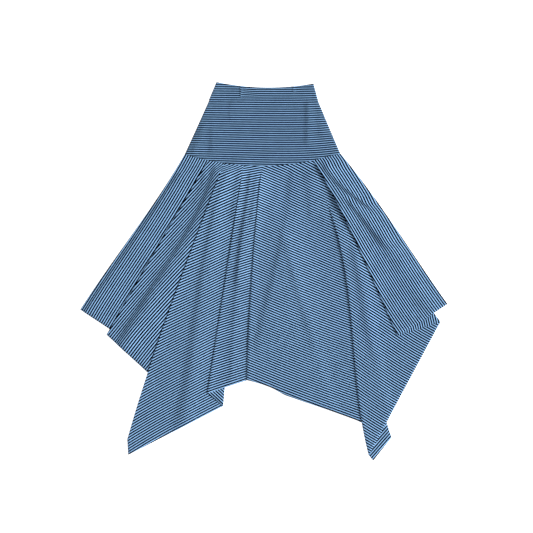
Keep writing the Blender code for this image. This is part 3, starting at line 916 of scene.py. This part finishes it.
class JerseySettings(bpy.types.PropertyGroup):
    """Sizes and colours of the striped jersey."""

    light_stripe: bpy.props.FloatVectorProperty(
        name="Light stripe", description="Colour of the light stripes", subtype="COLOR", size=4,
        min=0, max=1, default=colour(HEX_LIGHT))
    dark_stripe: bpy.props.FloatVectorProperty(
        name="Dark stripe", description="Colour of the dark stripes", subtype="COLOR", size=4,
        min=0, max=1, default=colour(HEX_DARK))
    stripe_pitch: bpy.props.FloatProperty(
        name="Stripe pitch", description="From one dark stripe to the next", unit="LENGTH",
        default=STRIPE_PITCH, min=0.002, max=0.05)
    thickness: bpy.props.FloatProperty(
        name="Thickness", description="Thickness of one layer of jersey", unit="LENGTH",
        default=WALL, min=0.0003, max=0.001)


class SewingSettings(bpy.types.PropertyGroup):
    """Sizes and colour of the stitches."""

    thread_colour: bpy.props.FloatVectorProperty(
        name="Thread", description="Colour of the sewing thread", subtype="COLOR", size=4,
        min=0, max=1, default=colour(HEX_THREAD))
    thread: bpy.props.FloatProperty(
        name="Thread thickness", description="Thickness of the sewing thread", unit="LENGTH",
        default=THREAD, min=0.0001, max=0.002)
    stitch_length: bpy.props.FloatProperty(
        name="Stitch length", description="Length of a stitch that shows", unit="LENGTH",
        default=STITCH_LENGTH, min=0.001, max=0.01)
    stitch_spacing: bpy.props.FloatProperty(
        name="Stitch spacing", description="From one stitch to the next", unit="LENGTH",
        default=STITCH_SPACING, min=0.001, max=0.02)


class StageSettings(bpy.types.PropertyGroup):
    """Sizes and colours of the stage."""

    floor_colour: bpy.props.FloatVectorProperty(
        name="Floor", description="Colour of the floor", subtype="COLOR", size=4,
        min=0, max=1, default=colour(HEX_FLOOR))
    camera_height: bpy.props.FloatProperty(
        name="Camera height", description="From the floor to the camera", unit="LENGTH",
        default=CAMERA_HEIGHT, min=1)
    view_width: bpy.props.FloatProperty(
        name="View width", description="Width of floor that the camera sees", unit="LENGTH",
        default=VIEW_WIDTH, min=0.5)
    floor_glow: bpy.props.FloatProperty(
        name="Floor glow", description="Light that comes up through the floor, as on a light table",
        default=0.9, min=0)
    key_power: bpy.props.FloatProperty(
        name="Key light", description="Strength of the far softbox on the right", default=4.5, min=0)
    key_height: bpy.props.FloatProperty(
        name="Key height", description="Angle of the far softbox over the floor", subtype="ANGLE",
        default=math.radians(28), min=0, max=math.pi / 2)
    key_turn: bpy.props.FloatProperty(
        name="Key turn", description="Turn of the far softbox from the right towards the waist", subtype="ANGLE",
        default=math.radians(5))
    key_softness: bpy.props.FloatProperty(
        name="Key softness", description="Angle that the far softbox fills", subtype="ANGLE",
        default=math.radians(26), min=0, max=math.pi / 2)
    sky: bpy.props.FloatProperty(
        name="Fill light", description="Strength of the even light from all sides", default=0.46, min=0)


class SKIRT_OT_lower_skirt(bpy.types.Operator):
    """Lays out the front and back of the lower skirt in their knife folds"""

    bl_idname = "skirt.lower_skirt"
    bl_label = "Lower skirt"

    def execute(self, context):
        settings = context.scene.skirt_jersey
        front, back = both_halves()
        cloth_map = skirt_stripes(front)
        for name, half, node in (("skirt_front_cloth", front, "skirt_front"),
                                 ("skirt_back_cloth", back, "skirt_back")):
            columns = half.columns()
            spots = np.stack([spot_on_cloth(cloth_map, half, key, plan) for plan, _, key in columns], 1)
            piece = lay_sheet(name, grid_of(columns), spots, settings.thickness, jersey_of(settings))
            finish_piece(piece, node)
        return {"FINISHED"}


class SKIRT_OT_yoke(bpy.types.Operator):
    """Lays out the front and back of the hip yoke"""

    bl_idname = "skirt.yoke"
    bl_label = "Hip yoke"

    def execute(self, context):
        settings = context.scene.skirt_jersey
        cloth_map = waist_stripes()
        v, u = down_and_across(YOKE_GRID)
        x, top, seam = strip(CASING_SEAM, YOKE_SEAM, YOKE_SEAM[:2], v, u)
        top += SEAM_GAP / MILLI
        for name, node, front in (("yoke_front_cloth", "yoke_front", True),
                                  ("yoke_back_cloth", "yoke_back", False)):
            lap = SEAM_LAP if front else (SEAM_CLEARANCE - SEAM_GAP) / MILLI
            plan = place(x, top * (1 - v) + (seam + lap) * v)
            rise, shift = crease_field(plan, YOKE_CREASES)
            z = WALL / 2 + rise * (1 if front else BACK_SHARE)
            if front:
                z += LAYER + YOKE_CROWN * arch(u) * arch(v)
                z += (CASING_TOP - WALL - LAYER) * smooth(1 - v / YOKE_SLOPE)
                z += SEAM_RISE * smooth((v - SEAM_ROLL) / (1 - SEAM_ROLL))
            points = np.concatenate([plan, z[..., None]], -1)
            spots = cloth_map.at(0, plan)
            spots[..., 1] += shift
            piece = lay_sheet(name, points, spots, settings.thickness, jersey_of(settings, relaxed=True))
            finish_piece(piece, node)
        return {"FINISHED"}


class SKIRT_OT_waistband(bpy.types.Operator):
    """Makes the elastic casing of the waist"""

    bl_idname = "skirt.waistband"
    bl_label = "Waistband"

    def execute(self, context):
        settings = context.scene.skirt_jersey
        cloth_map = waist_stripes()
        points, shift = casing_grid()
        spots = cloth_map.at(0, points[..., :2])
        spots[:, :CASING_GRID[1], 1] += shift
        piece = lay_sheet("waistband_casing", points, spots, CASING_WALL, jersey_of(settings, relaxed=True),
                          CASING_ROUNDING)
        finish_piece(piece, "waistband")
        return {"FINISHED"}


class SKIRT_OT_stitching(bpy.types.Operator):
    """Sews the twin rows of stitches along the hems and the casing"""

    bl_idname = "skirt.stitching"
    bl_label = "Stitching"

    def execute(self, context):
        settings = context.scene.skirt_sewing
        sunk = SUNK * settings.thread
        lift = context.scene.skirt_jersey.thickness / 2 - sunk
        front, back = both_halves()
        for name, half, cloth, side in (("front_hem_stitches", front, "skirt_front_cloth", 1),
                                        ("back_hem_stitches", back, "skirt_back_cloth", -1)):
            columns = half.columns()
            paths = []
            for panel in range(len(FOLDS) + 1):
                grid = grid_of([column for column in columns if column[2] == panel])
                paths += self.rows(grid, HEM_ROWS, side * lift)
            self.tie(sew(name, paths, settings), cloth)
        grid = casing_grid()[0]
        across = CASING_GRID[1]
        turned = across + len(END_ANGLES)
        paths = []
        for face, side in ((grid[:, :across], 1), (grid[:, turned:turned + across], -1)):
            paths += self.rows(face, CASING_ROWS, side * (CASING_WALL / 2 - sunk))
        self.tie(sew("casing_stitches", paths, settings), "waistband_casing")
        return {"FINISHED"}

    def rows(self, grid, distances, lift):
        """The paths of rows of stitches at distances above a strip's last row, lifted off the cloth's middle."""
        return [(points + up * lift, up) for points, up in (seam_path(grid, above) for above in distances)]

    def tie(self, stitches, cloth):
        """Keeps the stitches with the cloth that they hold."""
        stitches.parent = bpy.data.objects[cloth]
        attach(stitches, "root")


class SKIRT_OT_stage(bpy.types.Operator):
    """Sets up the floor, the light and the camera straight above"""

    bl_idname = "skirt.stage"
    bl_label = "Stage"

    def execute(self, context):
        scene = context.scene
        settings = scene.skirt_stage
        deselect()
        bpy.ops.mesh.primitive_plane_add(size=FLOOR_SIZE, location=(0, 0, -FLOOR_DROP))
        floor = context.active_object
        floor.name = "floor"
        floor.data.materials.append(new_material(
            "matt_white_floor", {"Base Color": settings.floor_colour, "Roughness": 0.9, "Emission Color": WHITE,
                                 "Emission Strength": settings.floor_glow})[0])
        camera = bpy.data.cameras.new("camera")
        holder = bpy.data.objects.new("camera", camera)
        scene.collection.objects.link(holder)
        camera.sensor_width = SENSOR_WIDTH
        camera.lens = SENSOR_WIDTH * settings.camera_height / settings.view_width
        camera.clip_end = FAR_CLIP
        holder.location = (*VIEW_MIDDLE, settings.camera_height)
        scene.camera = holder
        lamp = bpy.data.lights.new("far_softbox", "SUN")
        lamp.energy = settings.key_power
        lamp.angle = settings.key_softness
        item = bpy.data.objects.new("far_softbox", lamp)
        item.rotation_euler = (0, math.pi / 2 - settings.key_height, settings.key_turn)
        scene.collection.objects.link(item)
        world = bpy.data.worlds.new("studio")
        world.use_nodes = True
        background = world.node_tree.nodes["Background"]
        background.inputs["Color"].default_value = WHITE
        background.inputs["Strength"].default_value = settings.sky
        scene.world = world
        scene.view_settings.view_transform = "Standard"
        return {"FINISHED"}


class SKIRT_PT_sidebar(bpy.types.Panel):
    """Lists the skirt's pieces"""

    bl_idname = "SKIRT_PT_sidebar"
    bl_label = "Flared skirt"
    bl_space_type = "VIEW_3D"
    bl_region_type = "UI"
    bl_category = "Skirt"

    def draw(self, context):
        layout = self.layout
        for kind in OPERATORS:
            layout.operator(kind.bl_idname)
        for group in (context.scene.skirt_jersey, context.scene.skirt_sewing, context.scene.skirt_stage):
            for name in group.bl_rna.properties.keys():
                if name not in ("rna_type", "name"):
                    layout.prop(group, name)


OPERATORS = (SKIRT_OT_stage, SKIRT_OT_lower_skirt, SKIRT_OT_yoke, SKIRT_OT_waistband, SKIRT_OT_stitching)
CLASSES = (JerseySettings, SewingSettings, StageSettings) + OPERATORS + (SKIRT_PT_sidebar,)


def register():
    for kind in CLASSES:
        bpy.utils.register_class(kind)
    bpy.types.Scene.skirt_jersey = bpy.props.PointerProperty(type=JerseySettings)
    bpy.types.Scene.skirt_sewing = bpy.props.PointerProperty(type=SewingSettings)
    bpy.types.Scene.skirt_stage = bpy.props.PointerProperty(type=StageSettings)


def unregister():
    del bpy.types.Scene.skirt_stage
    del bpy.types.Scene.skirt_sewing
    del bpy.types.Scene.skirt_jersey
    for kind in reversed(CLASSES):
        bpy.utils.unregister_class(kind)


def main():
    register()
    for kind in OPERATORS:
        group, name = kind.bl_idname.split(".")
        getattr(getattr(bpy.ops, group), name)()
    bpy.context.view_layer.update()


if __name__ == "__main__":
    main()
